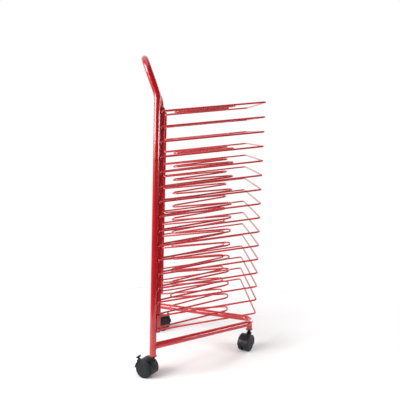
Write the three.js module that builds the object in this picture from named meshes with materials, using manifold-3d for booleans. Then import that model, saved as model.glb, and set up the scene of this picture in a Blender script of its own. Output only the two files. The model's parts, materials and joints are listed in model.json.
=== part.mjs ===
// Art drying rack on castors: a bent tube frame with sixteen wire shelves that lift about their back edge.
// Millimetres, +Z up. +X is the open front of the shelves and -Y is the rack's left side.
// The origin is on the floor, in the middle of the footprint.
import * as THREE from "three";
import { mergeVertices } from "three/addons/utils/BufferGeometryUtils.js";
import Module from "manifold-3d";

// Shelves
const SHELF_COUNT = 16;
const SHELF_PITCH = 48; // from one shelf to the next
const SHELF_DEPTH = 330; // pivot to the front wire, along the shelf
const SHELF_TILT = THREE.MathUtils.degToRad(8.5); // front edge up
const WIRE_DIAMETER = 6;
const LOOP_WIDTH = 40; // between the legs of a zigzag loop
const LOOP_OFFSET = 98; // middle of a front loop from the middle of the zigzag
const LOOP_SHIFT = 12; // zigzag left of the middle of the shelf
const LOOP_FRONT_GAP = 90; // front loops behind the front wire
const LOOP_BACK_GAP = 38; // back loop in front of the pivot line
const RIGHT_PIVOT_RUN = 32; // straight wire inside the right upright
const LEFT_PIVOT_RUN = 16;
const STOP_LENGTH = 10; // stop tail below the pivot

// Frame
const UPRIGHT_SPACING = 384; // between the axes of the two uprights
const TUBE_DIAMETER = 22;
const TUBE_WALL = 1.5;
const FIRST_SHELF_RISE = 59; // lowest pivot above the base rail
const RAIL_RISE = 33.5; // base rail above the end of the tubes
const TOP_MARGIN = 47; // handle bend above the top pivot
const HANDLE_RISE = 113;
const HANDLE_BACK = 43;
const HANDLE_BEND_RADIUS = 90;
const HANDLE_CORNER_RADIUS = 48;
const RAIL_OVERHANG = 59; // sharp corner of the base rail in front of the shelves
const RAIL_BEND_RADIUS = 36;

// Hinge strips
const STRIP_THICKNESS = 3;
const STRIP_SIDE_MARGIN = 2.5; // metal beside a pivot hole
const STRIP_END_MARGIN = 12;
const HOLE_CLEARANCE = 1; // pivot hole over the wire
const SIDE_CLEARANCE = 0.5; // side wire beside its strip
const STOP_CLEARANCE = 0.3; // stop tail in front of its upright

// Castors
const WHEEL_DIAMETER = 60;
const WHEEL_WIDTH = 16;
const WHEEL_EDGE = 3; // bevel beside the tread
const HUB_DIAMETER = 46; // raised disc on the wheel's outer face
const HUB_RISE = 1;
const TRAIL = 24; // axle behind the stem
const AXLE_DIAMETER = 6;
const AXLE_COVER = 4; // wheel beyond the end of the axle
const GUARD_CLEARANCE = 1.8; // hood over the tread
const GUARD_THICKNESS = 2.5;
const WEB_THICKNESS = 10; // hood between the wheels
const WEB_ROUND_DIAMETER = 48;
const WHEEL_SIDE_GAP = 1;
const STEM_DIAMETER = 9;
const STEM_IN_HOOD = 17;
const STEM_IN_TUBE = 20;
const STEM_CHAMFER = 2;
const STEM_FLANGE_OVERHANG = 2;
const STEM_FLANGE_HEIGHT = 1.5;
const BOSS_WALL = 5.5; // hood around the stem
const BOSS_FLOOR = 4; // hood under the stem
const BOSS_DROP = 1; // boss below the top of the hood
const NECK_WALL = 2; // narrow top of the boss around the stem
const NECK_RISE = 9.5;
const PLUG_FLANGE_OVERHANG = 2.5; // plug beyond the tube
const PLUG_FLANGE_HEIGHT = 3;
const PLUG_FLANGE_EDGE = 1.2; // upright rim above the plug's cone

// Brake levers
const LEVER_PLACE = THREE.MathUtils.degToRad(30); // pivot's angle about the axle, above level
const LEVER_LIFT = THREE.MathUtils.degToRad(80); // lever's angle above level when the brake is off
const LEVER_RISE = 3.3; // pivot above the hood
const LEVER_PIN_DIAMETER = 4;
const LEVER_BARREL_DIAMETER = 6;
const LEVER_WIDTH = 7;
const LEVER_THICKNESS = 3;
const PEDAL_START = 9; // from the pivot
const PEDAL_LENGTH = 6;
const PEDAL_WIDTH = 20;
const PEDAL_THICKNESS = 4;
const PEDAL_EDGE = 1.2; // bevel at the pedal's tip
const LUG_LENGTH = 8;
const LUG_THICKNESS = 3;

// Gaps between pieces
const WELD_GAP = 0.15;
const FACE_GAP = 0.1; // faces that rest on each other
const FIT = 0.15; // radial gap of a pressed fit
const RUN = 0.3; // gap of a turning fit

// Facets
const TUBE_SIDES = 12;
const SMALL_SIDES = 12;
const WIRE_SIDES = 6;
const HOLE_SIDES = 6;
const WHEEL_SIDES = 18;
const GUARD_SIDES = 9;
const LEVER_SIDES = 8;

// Values that follow
const TUBE_R = TUBE_DIAMETER / 2;
const BORE_R = TUBE_R - TUBE_WALL;
const WIRE_R = WIRE_DIAMETER / 2;
const WHEEL_R = WHEEL_DIAMETER / 2;
const STEM_R = STEM_DIAMETER / 2;
const AXLE_R = AXLE_DIAMETER / 2;
const HOLE_R = WIRE_R + HOLE_CLEARANCE / 2;
const HALF_SPACING = UPRIGHT_SPACING / 2;
const GUARD_IN = WHEEL_R + GUARD_CLEARANCE;
const GUARD_OUT = GUARD_IN + GUARD_THICKNESS;
const HOOD_TOP = WHEEL_R + GUARD_OUT;
const BOSS_TOP = HOOD_TOP - BOSS_DROP;
const NECK_TOP = BOSS_TOP + NECK_RISE;
const STEM_FLANGE_Z = NECK_TOP + FACE_GAP;
const PLUG_Z = STEM_FLANGE_Z + STEM_FLANGE_HEIGHT + RUN;
const TUBE_END = PLUG_Z + PLUG_FLANGE_HEIGHT + FACE_GAP;
const RAIL_Z = TUBE_END + RAIL_RISE;
const FIRST_PIVOT_Z = RAIL_Z + FIRST_SHELF_RISE;
const TOP_PIVOT_Z = FIRST_PIVOT_Z + (SHELF_COUNT - 1) * SHELF_PITCH;
const BEND_Z = TOP_PIVOT_Z + TOP_MARGIN;
const HANDLE_Z = BEND_Z + HANDLE_RISE;
const STRIP_BACK = TUBE_R + FACE_GAP;
const PIVOT_X = STRIP_BACK + STRIP_SIDE_MARGIN + HOLE_R;
const STRIP_FRONT = PIVOT_X + HOLE_R + STRIP_SIDE_MARGIN;
const SIDE_WIRE_OFFSET = STRIP_THICKNESS / 2 + SIDE_CLEARANCE + WIRE_R;
const RAIL_CORNER_X = PIVOT_X + SHELF_DEPTH + RAIL_OVERHANG;
const RAIL_HALF_ANGLE = Math.atan2(HALF_SPACING, RAIL_CORNER_X);
const APEX_X = RAIL_CORNER_X - RAIL_BEND_RADIUS / Math.sin(RAIL_HALF_ANGLE) + RAIL_BEND_RADIUS;

const wasm = await Module();
wasm.setup();

const red = new THREE.MeshStandardMaterial({ name: "red_paint", color: 0xb5121b, roughness: 0.35 });
const black = new THREE.MeshStandardMaterial({ name: "black_plastic", color: 0x1b1c1e, roughness: 0.5 });
const tread = new THREE.MeshStandardMaterial({ name: "wheel_nylon", color: 0x2a2b2d, roughness: 0.6 });
const steel = new THREE.MeshStandardMaterial({ name: "zinc_steel", color: 0xb9bcc0, metalness: 0.9 });

// A path through listed points, each with its own direction, so that a sweep has rings only where needed.
class StationPath extends THREE.Curve {
  constructor(points, directions) {
    super();
    this.points = points;
    this.directions = directions;
  }
  get last() {
    return this.points.length - 1;
  }
  getPoint(t, target = new THREE.Vector3()) {
    return target.copy(this.points[Math.round(t * this.last)]);
  }
  getTangent(t, target = new THREE.Vector3()) {
    return target.copy(this.directions[Math.round(t * this.last)]);
  }
  getUtoTmapping(u) {
    return u;
  }
}

// Joins corner points with straight runs and round bends. A corner is [point, bend radius, facets].
function bentPath(corners) {
  const points = [];
  const directions = [];
  const add = (point, direction) => {
    points.push(point);
    directions.push(direction);
  };
  const way = (a, b) => b[0].clone().sub(a[0]).normalize();
  add(corners[0][0].clone(), way(corners[0], corners[1]));
  for (let i = 1; i < corners.length - 1; i++) {
    const [corner, radius, facets] = corners[i];
    const into = way(corners[i - 1], corners[i]);
    const out = way(corners[i], corners[i + 1]);
    const turn = into.angleTo(out);
    const side = out.clone().addScaledVector(into, -out.dot(into)).normalize();
    const start = corner.clone().addScaledVector(into, -radius * Math.tan(turn / 2));
    const centre = start.clone().addScaledVector(side, radius);
    for (let k = 0; k <= facets; k++) {
      const angle = (turn * k) / facets;
      const point = centre
        .clone()
        .addScaledVector(side, -radius * Math.cos(angle))
        .addScaledVector(into, radius * Math.sin(angle));
      const direction = side.clone().multiplyScalar(Math.sin(angle)).addScaledVector(into, Math.cos(angle));
      add(point, direction);
    }
  }
  const end = corners.length - 1;
  add(corners[end][0].clone(), way(corners[end - 1], corners[end]));
  return new StationPath(points, directions);
}

function ringPoints(radius, sides) {
  const points = [];
  for (let i = 0; i < sides; i++) {
    const angle = (2 * Math.PI * (i + 0.5)) / sides;
    points.push(new THREE.Vector2(radius * Math.cos(angle), radius * Math.sin(angle)));
  }
  return points;
}

// Round section along a path, hollow where an inner radius is given.
function sweep(path, radius, sides, innerRadius) {
  const shape = new THREE.Shape(ringPoints(radius, sides));
  if (innerRadius) shape.holes.push(new THREE.Path(ringPoints(innerRadius, sides)));
  return new THREE.ExtrudeGeometry(shape, { steps: path.last, extrudePath: path });
}

// A three.js geometry as a solid that can be joined and cut.
function solid(geometry) {
  const bare = new THREE.BufferGeometry();
  const source = geometry.index ? geometry.toNonIndexed() : geometry;
  bare.setAttribute("position", source.getAttribute("position"));
  const merged = mergeVertices(bare, 1e-3);
  const index = merged.index.array;
  const kept = [];
  for (let i = 0; i < index.length; i += 3) {
    const [a, b, c] = [index[i], index[i + 1], index[i + 2]];
    if (a !== b && b !== c && c !== a) kept.push(a, b, c);
  }
  const mesh = new wasm.Mesh({
    numProp: 3,
    vertProperties: merged.getAttribute("position").array,
    triVerts: new Uint32Array(kept),
  });
  return new wasm.Manifold(mesh);
}

function surface(body) {
  const mesh = body.getMesh();
  const geometry = new THREE.BufferGeometry();
  geometry.setAttribute("position", new THREE.BufferAttribute(new Float32Array(mesh.vertProperties), 3));
  geometry.setIndex(new THREE.BufferAttribute(new Uint32Array(mesh.triVerts), 1));
  const flat = geometry.toNonIndexed();
  flat.computeVertexNormals();
  return flat;
}

// Turns a profile of [radius, height] points about the Z axis.
function turned(profile, sides) {
  const points = profile.map(([r, z]) => new THREE.Vector2(r, z));
  const geometry = new THREE.LatheGeometry([...points, points[0]], sides, Math.PI / sides);
  return solid(geometry.rotateX(Math.PI / 2));
}

// Turns a profile of [radius, offset] points about the castor's axle, which lies along Y.
function turnedOnAxle(profile, sides) {
  const points = profile.map(([r, y]) => new THREE.Vector2(r, y));
  const geometry = new THREE.LatheGeometry([...points, points[0]], sides, Math.PI / sides);
  return solid(geometry.translate(TRAIL, 0, WHEEL_R));
}

function upright(radius, x, y, bottom, top, sides) {
  const geometry = new THREE.CylinderGeometry(radius, radius, top - bottom, sides);
  geometry.rotateX(Math.PI / 2);
  geometry.rotateZ(Math.PI / sides);
  return solid(geometry.translate(x, y, (top + bottom) / 2));
}

function crossPin(radius, x, z, from, to, sides) {
  const geometry = new THREE.CylinderGeometry(radius, radius, to - from, sides);
  return solid(geometry.translate(x, (from + to) / 2, z));
}

// A shape drawn in X and Z, given a thickness along Y.
function plate(shape, from, to, curveSegments) {
  const options = { depth: to - from, bevelEnabled: false, curveSegments };
  const geometry = new THREE.ExtrudeGeometry(shape, options);
  return solid(geometry.rotateX(Math.PI / 2).translate(0, to, 0));
}

const rack = new THREE.Group();
rack.name = "art_drying_rack";
const placed = new THREE.Group();
rack.add(placed);

function addPart(name, body, material, parent = placed) {
  const mesh = new THREE.Mesh(surface(body), material);
  mesh.name = name;
  parent.add(mesh);
  return mesh;
}

// Back frame: one bent tube, from the left castor up over the handle and down to the right castor.
function framePath() {
  const at = (x, y, z) => new THREE.Vector3(x, y, z);
  return bentPath([
    [at(0, -HALF_SPACING, TUBE_END)],
    [at(0, -HALF_SPACING, BEND_Z), HANDLE_BEND_RADIUS, 2],
    [at(-HANDLE_BACK, -HALF_SPACING, HANDLE_Z), HANDLE_CORNER_RADIUS, 5],
    [at(-HANDLE_BACK, HALF_SPACING, HANDLE_Z), HANDLE_CORNER_RADIUS, 5],
    [at(0, HALF_SPACING, BEND_Z), HANDLE_BEND_RADIUS, 2],
    [at(0, HALF_SPACING, TUBE_END)],
  ]);
}
addPart("back_frame", solid(sweep(framePath(), TUBE_R, TUBE_SIDES, BORE_R)), red);

// Base rail: a V of the same tube, bent round at the front and cut to fit against the uprights.
function railPath() {
  return bentPath([
    [new THREE.Vector3(0, -HALF_SPACING, RAIL_Z)],
    [new THREE.Vector3(RAIL_CORNER_X, 0, RAIL_Z), RAIL_BEND_RADIUS, 6],
    [new THREE.Vector3(0, HALF_SPACING, RAIL_Z)],
  ]);
}
const railBlank = solid(sweep(railPath(), TUBE_R, TUBE_SIDES, BORE_R));
function cope(y) {
  return upright(TUBE_R + WELD_GAP, 0, y, RAIL_Z - TUBE_DIAMETER, RAIL_Z + TUBE_DIAMETER, TUBE_SIDES);
}
addPart("base_rail", railBlank.subtract(cope(-HALF_SPACING)).subtract(cope(HALF_SPACING)), red);

// Front socket: a short piece of the same tube under the tip of the base rail, for the front castor.
const socketOuter = upright(TUBE_R, APEX_X, 0, TUBE_END, RAIL_Z, TUBE_SIDES);
const socketBore = upright(BORE_R, APEX_X, 0, TUBE_END - TUBE_R, RAIL_Z + TUBE_R, TUBE_SIDES);
const railCutter = solid(sweep(railPath(), TUBE_R + WELD_GAP, TUBE_SIDES));
addPart("front_socket", socketOuter.subtract(socketBore).subtract(railCutter), red);

// Hinge strips: flat bars on the front of the uprights with one pivot hole for each shelf.
function stripShape() {
  const width = STRIP_FRONT - STRIP_BACK;
  const radius = width / 2;
  const low = FIRST_PIVOT_Z - STRIP_END_MARGIN;
  const high = TOP_PIVOT_Z + STRIP_END_MARGIN;
  const shape = new THREE.Shape();
  shape.moveTo(STRIP_BACK, low);
  shape.lineTo(STRIP_FRONT - radius, low);
  shape.absarc(STRIP_FRONT - radius, low + radius, radius, -Math.PI / 2, 0, false);
  shape.lineTo(STRIP_FRONT, high - radius);
  shape.absarc(STRIP_FRONT - radius, high - radius, radius, 0, Math.PI / 2, false);
  shape.lineTo(STRIP_BACK, high);
  shape.closePath();
  for (let i = 0; i < SHELF_COUNT; i++) {
    const hole = ringPoints(HOLE_R / Math.cos(Math.PI / HOLE_SIDES), HOLE_SIDES);
    hole.forEach((p) => p.add(new THREE.Vector2(PIVOT_X, FIRST_PIVOT_Z + i * SHELF_PITCH)));
    shape.holes.push(new THREE.Path(hole));
  }
  return shape;
}
for (const [side, y] of [["left", -HALF_SPACING], ["right", HALF_SPACING]]) {
  const bar = plate(stripShape(), y - STRIP_THICKNESS / 2, y + STRIP_THICKNESS / 2, 3);
  addPart("hinge_strip_" + side, bar, red);
}

// Shelf: one wire. It starts at the stop tail beside the left upright, runs round the outside of the shelf,
// turns in through the right strip, zigzags back and ends as the pivot pin in the left strip.
function shelfPath(pivotZ) {
  const cos = Math.cos(SHELF_TILT);
  const sin = Math.sin(SHELF_TILT);
  const at = (along, y) => new THREE.Vector3(PIVOT_X + along * cos, y, pivotZ + along * sin);
  const leftWire = -HALF_SPACING - SIDE_WIRE_OFFSET;
  const rightWire = HALF_SPACING + SIDE_WIRE_OFFSET;
  const reach = TUBE_R + WIRE_R + STOP_CLEARANCE;
  const tailX = Math.sqrt(reach * reach - SIDE_WIRE_OFFSET * SIDE_WIRE_OFFSET);
  const tailTop = (tailX - PIVOT_X) / cos;
  const tailTip = new THREE.Vector3(tailX, leftWire, pivotZ - STOP_LENGTH);
  const pinEnd = -HALF_SPACING - STRIP_THICKNESS / 2 - FACE_GAP;
  const loopFront = SHELF_DEPTH - LOOP_FRONT_GAP;
  const loopHalf = LOOP_WIDTH / 2;
  const rightLoop = LOOP_OFFSET - LOOP_SHIFT;
  const leftLoop = -LOOP_OFFSET - LOOP_SHIFT;
  const tightBend = WIRE_DIAMETER * 0.75;
  const cornerBend = WIRE_DIAMETER * 1.6;
  const hairpinBend = WIRE_DIAMETER * 2;
  return bentPath([
    [tailTip],
    [at(tailTop, leftWire), tightBend, 2],
    [at(SHELF_DEPTH, leftWire), cornerBend, 2],
    [at(SHELF_DEPTH, rightWire), cornerBend, 2],
    [at(0, rightWire), tightBend, 2],
    [at(0, HALF_SPACING - RIGHT_PIVOT_RUN), hairpinBend, 2],
    [at(loopFront, rightLoop + loopHalf), loopHalf, 2],
    [at(loopFront, rightLoop - loopHalf), loopHalf, 2],
    [at(LOOP_BACK_GAP, loopHalf - LOOP_SHIFT), loopHalf, 3],
    [at(LOOP_BACK_GAP, -loopHalf - LOOP_SHIFT), loopHalf, 3],
    [at(loopFront, leftLoop + loopHalf), loopHalf, 2],
    [at(loopFront, leftLoop - loopHalf), loopHalf, 2],
    [at(0, -HALF_SPACING + LEFT_PIVOT_RUN), cornerBend, 2],
    [at(0, pinEnd)],
  ]);
}
for (let i = 0; i < SHELF_COUNT; i++) {
  const name = "shelf_" + String(i + 1).padStart(2, "0");
  const wire = sweep(shelfPath(FIRST_PIVOT_Z + i * SHELF_PITCH), WIRE_R, WIRE_SIDES);
  addPart(name, solid(wire), red);
}

// Castor, drawn with its stem on the Z axis and its wheels trailing along +X.
const HALF_WEB = WEB_THICKNESS / 2;
const WHEEL_IN = HALF_WEB + WHEEL_SIDE_GAP;
const WHEEL_OUT = WHEEL_IN + WHEEL_WIDTH;
const GUARD_HALF_WIDTH = WHEEL_OUT - HUB_RISE;
const STEM_BOTTOM = BOSS_TOP - STEM_IN_HOOD;
const LEVER_X = TRAIL + (GUARD_OUT + LEVER_RISE) * Math.cos(LEVER_PLACE);
const LEVER_Z = WHEEL_R + (GUARD_OUT + LEVER_RISE) * Math.sin(LEVER_PLACE);
const LEVER_PIN_R = LEVER_PIN_DIAMETER / 2;
const LUG_IN = LEVER_WIDTH / 2 + RUN;
const LUG_OUT = LUG_IN + LUG_THICKNESS;

function sector(outer, inner) {
  const shape = new THREE.Shape();
  shape.absarc(TRAIL, WHEEL_R, outer, 0, Math.PI, false);
  if (inner) shape.absarc(TRAIL, WHEEL_R, inner, Math.PI, 0, true);
  shape.closePath();
  return shape;
}

// An ear for the brake lever that stands out from the hood.
function lug(from, to) {
  const foot = GUARD_OUT - GUARD_THICKNESS / 2;
  const tip = GUARD_OUT + LEVER_RISE + LUG_LENGTH / 2;
  const geometry = new THREE.BoxGeometry(tip - foot, to - from, LUG_LENGTH);
  geometry.translate((foot + tip) / 2, (from + to) / 2, 0);
  return solid(geometry.rotateY(-LEVER_PLACE).translate(TRAIL, 0, WHEEL_R));
}

// The hood arches over both wheels. It has a web between them, a boss for the stem and lugs for a brake.
function hood(braked) {
  const guard = plate(sector(GUARD_OUT, GUARD_IN), -GUARD_HALF_WIDTH, GUARD_HALF_WIDTH, GUARD_SIDES);
  const webTop = plate(sector(GUARD_OUT), -HALF_WEB, HALF_WEB, GUARD_SIDES);
  const webRound = crossPin(WEB_ROUND_DIAMETER / 2, TRAIL, WHEEL_R, -HALF_WEB, HALF_WEB, WHEEL_SIDES);
  let boss = upright(STEM_R + BOSS_WALL, 0, 0, STEM_BOTTOM - BOSS_FLOOR, BOSS_TOP, SMALL_SIDES);
  for (const [from, to] of [[-GUARD_HALF_WIDTH, -HALF_WEB], [HALF_WEB, GUARD_HALF_WIDTH]]) {
    boss = boss.subtract(crossPin(GUARD_IN, TRAIL, WHEEL_R, from, to, WHEEL_SIDES));
  }
  const neck = upright(STEM_R + NECK_WALL, 0, 0, BOSS_TOP - NECK_WALL, NECK_TOP, SMALL_SIDES);
  let body = guard.add(webTop).add(webRound).add(boss).add(neck);
  if (braked) {
    for (const [from, to] of [[-LUG_OUT, -LUG_IN], [LUG_IN, LUG_OUT]]) {
      const eye = crossPin(LEVER_PIN_R + RUN, LEVER_X, LEVER_Z, from - 1, to + 1, LEVER_SIDES);
      body = body.add(lug(from, to).subtract(eye));
    }
  }
  body = body.subtract(upright(STEM_R + FIT, 0, 0, STEM_BOTTOM, NECK_TOP + STEM_R, SMALL_SIDES));
  return body.subtract(crossPin(AXLE_R + FIT, TRAIL, WHEEL_R, -WHEEL_IN, WHEEL_IN, SMALL_SIDES));
}

function stem() {
  const top = TUBE_END + STEM_IN_TUBE;
  const low = STEM_BOTTOM + FACE_GAP;
  const flangeR = STEM_R + STEM_FLANGE_OVERHANG;
  const profile = [
    [0, low],
    [STEM_R, low],
    [STEM_R, STEM_FLANGE_Z],
    [flangeR, STEM_FLANGE_Z],
    [flangeR, STEM_FLANGE_Z + STEM_FLANGE_HEIGHT],
    [STEM_R, STEM_FLANGE_Z + STEM_FLANGE_HEIGHT],
    [STEM_R, top - STEM_CHAMFER],
    [STEM_R - STEM_CHAMFER, top],
    [0, top],
  ];
  return turned(profile, SMALL_SIDES);
}

// The plug is a sleeve in the tube's end with a flange below it that narrows downwards.
function plug() {
  const seat = TUBE_END - FACE_GAP;
  const top = TUBE_END + STEM_IN_TUBE + FACE_GAP;
  const sleeveR = BORE_R * Math.cos(Math.PI / TUBE_SIDES) - FIT; // clears the flats of the faceted bore
  const flangeR = TUBE_R + PLUG_FLANGE_OVERHANG;
  const profile = [
    [STEM_R + RUN, PLUG_Z],
    [TUBE_R, PLUG_Z],
    [flangeR, seat - PLUG_FLANGE_EDGE],
    [flangeR, seat],
    [sleeveR, seat],
    [sleeveR, top],
    [STEM_R + RUN, top],
  ];
  return turned(profile, SMALL_SIDES);
}

function axle() {
  const half = WHEEL_OUT - AXLE_COVER;
  return crossPin(AXLE_R, TRAIL, WHEEL_R, -half, half, SMALL_SIDES);
}

function wheel(side) {
  const rim = WHEEL_R / Math.cos(Math.PI / WHEEL_SIDES); // stands on a flat
  const bore = AXLE_R + RUN;
  const boreEnd = WHEEL_OUT - AXLE_COVER + RUN;
  const hubR = HUB_DIAMETER / 2;
  const profile = [
    [0, boreEnd],
    [bore, boreEnd],
    [bore, WHEEL_IN],
    [rim, WHEEL_IN],
    [rim, WHEEL_OUT - HUB_RISE - WHEEL_EDGE],
    [rim - WHEEL_EDGE, WHEEL_OUT - HUB_RISE],
    [hubR, WHEEL_OUT - HUB_RISE],
    [hubR - HUB_RISE, WHEEL_OUT],
    [0, WHEEL_OUT],
  ];
  if (side > 0) return turnedOnAxle(profile, WHEEL_SIDES);
  return turnedOnAxle(profile.map(([r, y]) => [r, -y]).reverse(), WHEEL_SIDES);
}

// The lever stands up from its pivot and carries a cross bar as its pedal.
function lever() {
  const at = (along, up) =>
    new THREE.Vector2(
      LEVER_X + along * Math.cos(LEVER_LIFT) - up * Math.sin(LEVER_LIFT),
      LEVER_Z + along * Math.sin(LEVER_LIFT) + up * Math.cos(LEVER_LIFT),
    );
  const half = LEVER_WIDTH / 2;
  const barrel = crossPin(LEVER_BARREL_DIAMETER / 2, LEVER_X, LEVER_Z, -half, half, LEVER_SIDES);
  const pin = crossPin(LEVER_PIN_R, LEVER_X, LEVER_Z, -LUG_OUT, LUG_OUT, LEVER_SIDES);
  const arm = LEVER_THICKNESS / 2;
  const end = PEDAL_START + PEDAL_EDGE; // inside the pedal
  const neck = new THREE.Shape([at(0, -arm), at(end, -arm), at(end, arm), at(0, arm)]);
  const bar = PEDAL_THICKNESS / 2;
  const tip = PEDAL_START + PEDAL_LENGTH;
  const pedal = new THREE.Shape([
    at(PEDAL_START, -bar),
    at(tip - PEDAL_EDGE, -bar),
    at(tip, PEDAL_EDGE - bar),
    at(tip, bar - PEDAL_EDGE),
    at(tip - PEDAL_EDGE, bar),
    at(PEDAL_START, bar),
  ]);
  const stalk = plate(neck, -half, half, 1);
  return barrel.add(pin).add(stalk).add(plate(pedal, -PEDAL_WIDTH / 2, PEDAL_WIDTH / 2, 1));
}

function addCastor(side, x, y, heading, braked) {
  const group = new THREE.Group();
  group.position.set(x, y, 0);
  group.rotation.z = THREE.MathUtils.degToRad(heading);
  placed.add(group);
  const name = (piece) => "castor_" + side + "_" + piece;
  addPart(name("plug"), plug(), black, group);
  addPart(name("stem"), stem(), steel, group);
  addPart(name("hood"), hood(braked), black, group);
  addPart(name("axle"), axle(), steel, group);
  addPart(name("wheel_1"), wheel(1), tread, group);
  addPart(name("wheel_2"), wheel(-1), tread, group);
  if (braked) addPart(name("brake"), lever(), black, group);
}
addCastor("left", 0, -HALF_SPACING, 145, true);
addCastor("right", 0, HALF_SPACING, 34, true);
addCastor("front", APEX_X, 0, 234, false);

// Moves the middle of the footprint to the origin.
const bounds = new THREE.Box3().setFromObject(rack, true);
const middle = bounds.getCenter(new THREE.Vector3());
placed.position.set(-middle.x, -middle.y, -bounds.min.z);

export default rack;
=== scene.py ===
"""Looks of an art drying rack: bent red tubes, tilted wire shelves and black twin-wheel castors.

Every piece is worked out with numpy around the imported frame: metres, +Z up, shelves open to +X.
"""

import json
import math

import bmesh
import bpy
import numpy as np
from mathutils import Matrix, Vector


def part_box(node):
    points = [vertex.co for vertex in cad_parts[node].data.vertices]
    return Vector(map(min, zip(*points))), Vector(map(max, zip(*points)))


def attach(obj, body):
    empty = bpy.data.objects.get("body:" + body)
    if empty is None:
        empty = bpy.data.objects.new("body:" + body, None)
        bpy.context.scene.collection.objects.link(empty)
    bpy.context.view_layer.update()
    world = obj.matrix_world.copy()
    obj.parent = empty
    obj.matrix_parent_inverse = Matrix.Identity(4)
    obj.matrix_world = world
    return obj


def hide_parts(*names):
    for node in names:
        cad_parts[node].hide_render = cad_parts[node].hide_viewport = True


bl_info = {
    "name": "Art drying rack",
    "version": (1, 0, 0),
    "blender": (4, 5, 0),
    "location": "3D View > Sidebar > Rack",
    "description": "Builds the drying rack's tubes, wire shelves, castors and studio",
    "category": "Object",
}

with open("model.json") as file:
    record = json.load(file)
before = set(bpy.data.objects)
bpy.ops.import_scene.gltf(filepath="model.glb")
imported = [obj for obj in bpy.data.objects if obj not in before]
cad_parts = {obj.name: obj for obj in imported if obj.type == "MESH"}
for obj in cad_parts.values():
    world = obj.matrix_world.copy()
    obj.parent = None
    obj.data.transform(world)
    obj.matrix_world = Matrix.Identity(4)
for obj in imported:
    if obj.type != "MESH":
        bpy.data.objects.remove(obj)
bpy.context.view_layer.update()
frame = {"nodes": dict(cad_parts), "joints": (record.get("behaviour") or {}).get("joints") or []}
JOINTS = {joint["name"]: joint for joint in frame["joints"]}
SHELVES = sorted(name for name in frame["nodes"] if name.startswith("shelf_"))
SIDES = ("left", "right", "front")
BACK_SIDES = ("left", "right")  # those with an upright, a hinge strip and a brake

FULL_TURN = 2.0 * math.pi
UP = np.array([0.0, 0.0, 1.0])
TURNING_GAP = 0.0003  # between pieces that turn on each other
SEAT_GAP = 0.0001  # between faces that rest on each other
HOLE_GAP = 0.00015  # around a stem or pin that the hood holds
SMALL = 1e-6  # metres, below which two points are the same


def place_of(joint):
    """The joint's point at rest."""
    return np.array(JOINTS[joint]["pos_m"], float)


def foot_of(side):
    """Where a castor's stem axis meets the floor."""
    x, y, _ = place_of(f"castor_{side}_swivel")
    return np.array([x, y, 0.0])


TUBE_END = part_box("back_frame")[0].z
TOP_PIVOT = place_of(f"{SHELVES[-1]}_lift")
WHEEL_RADIUS = place_of("castor_left_wheel_1_roll")[2]
TRAIL = float(np.linalg.norm(place_of("castor_left_wheel_1_roll")[:2] - foot_of("left")[:2]))
LEVER_PLACE = place_of("castor_left_brake_press")
LEVER_ALONG = float(np.linalg.norm(LEVER_PLACE[:2] - foot_of("left")[:2]))
LEVER_REACH = math.hypot(LEVER_ALONG - TRAIL, LEVER_PLACE[2] - WHEEL_RADIUS)
LEVER_ANGLE = math.atan2(LEVER_PLACE[2] - WHEEL_RADIUS, LEVER_ALONG - TRAIL)


def linear(hex_colour):
    """An sRGB hex colour as linear red, green and blue."""
    part = np.array([int(hex_colour[i : i + 2], 16) for i in (1, 3, 5)]) / 255.0
    return tuple(np.where(part <= 0.04045, part / 12.92, ((part + 0.055) / 1.055) ** 2.4))


def length(name, words, metres):
    """A size that a user can change."""
    return bpy.props.FloatProperty(
        name=name, description=words, default=metres, min=0.0, precision=4, unit="LENGTH"
    )


def slope(name, words, degrees):
    """An angle that a user can change."""
    return bpy.props.FloatProperty(
        name=name, description=words, default=math.radians(degrees), subtype="ANGLE"
    )


def colour(name, words, hex_colour):
    """A colour that a user can change, given as an sRGB hex value."""
    return bpy.props.FloatVectorProperty(
        name=name,
        description=words,
        default=linear(hex_colour),
        min=0.0,
        max=1.0,
        size=3,
        subtype="COLOR",
    )


class RackFrameSizes(bpy.types.PropertyGroup):
    """Sizes of the tubes and hinge strips."""

    tube: length("Tube", "Outside diameter of the frame tube", 0.022)
    wall: length("Wall", "Wall of the tubes", 0.0015)
    edge: length("Cut edge", "Rounding at a tube's cut end", 0.0004)
    top_margin: length("Top margin", "Handle bend above the top pivot", 0.047)
    handle_rise: length("Handle rise", "Handle above its bend", 0.113)
    handle_back: length("Handle back", "Handle behind the uprights", 0.043)
    handle_bend: length("Handle bend", "Radius of the bend below the handle", 0.090)
    handle_corner: length("Handle corner", "Radius of the handle's corners", 0.048)
    rail_rise: length("Rail rise", "Base rail above the ends of the tubes", 0.0335)
    rail_bend: length("Rail bend", "Radius of the bend at the rail's tip", 0.036)
    weld: length("Weld", "Radius of a weld bead", 0.0019)
    ripple: length("Weld ripple", "Spacing of the ripples in a weld", 0.0021)
    stitch: length("Stitch weld", "Length of the short welds on a hinge strip", 0.014)
    strip: length("Strip", "Thickness of a hinge strip", 0.003)
    hole: length("Pivot hole", "Diameter of a pivot hole", 0.007)
    bevel: length("Strip bevel", "Softened edge of a hinge strip", 0.0004)


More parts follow.
